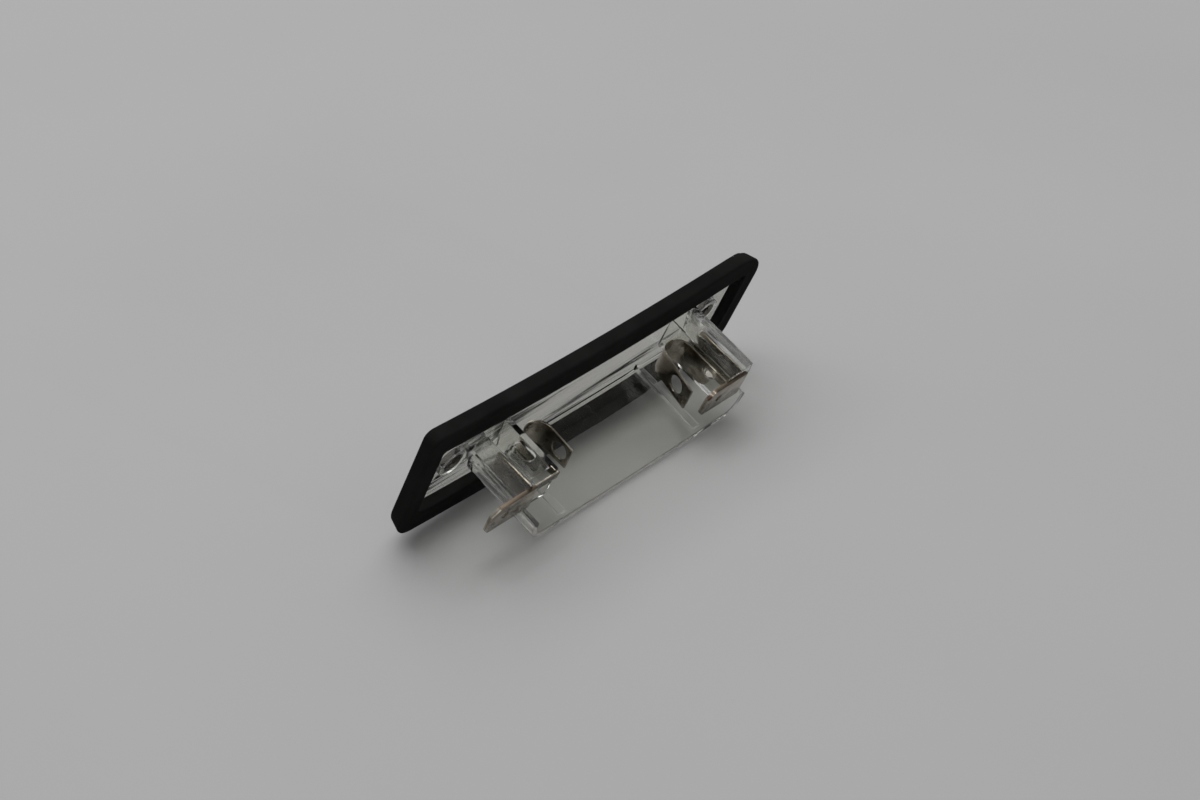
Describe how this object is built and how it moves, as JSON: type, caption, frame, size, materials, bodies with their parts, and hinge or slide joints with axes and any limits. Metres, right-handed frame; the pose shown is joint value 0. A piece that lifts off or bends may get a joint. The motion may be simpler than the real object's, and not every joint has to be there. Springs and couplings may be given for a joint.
{
  "type": "number plate lamp",
  "caption": "Clear one-piece lens and bulb carrier with a light shield, a rubber seal and stamped spade contacts for a festoon bulb.",
  "frame": {"origin": "midway between the two screw holes, on the front (lens) face of the clear plate", "axes": "+X along the length of the lamp through the two screw holes, +Y away from the long light shield, +Z from the lens face into the car body, along the screws"},
  "size_m": [0.092, 0.0323, 0.0198],
  "materials": {
    "black_rubber": "matte moulded rubber with a fine grain",
    "clear_plastic": "clear moulded plastic, polished, water-clear",
    "plated_metal": "tin-plated brass, dulled and slightly brown, satin"
  },
  "bodies": {
    "root": {"seal": "black_rubber", "lens_housing": "clear_plastic", "left_contact": "plated_metal", "right_contact": "plated_metal"}
  },
  "joints": []
}
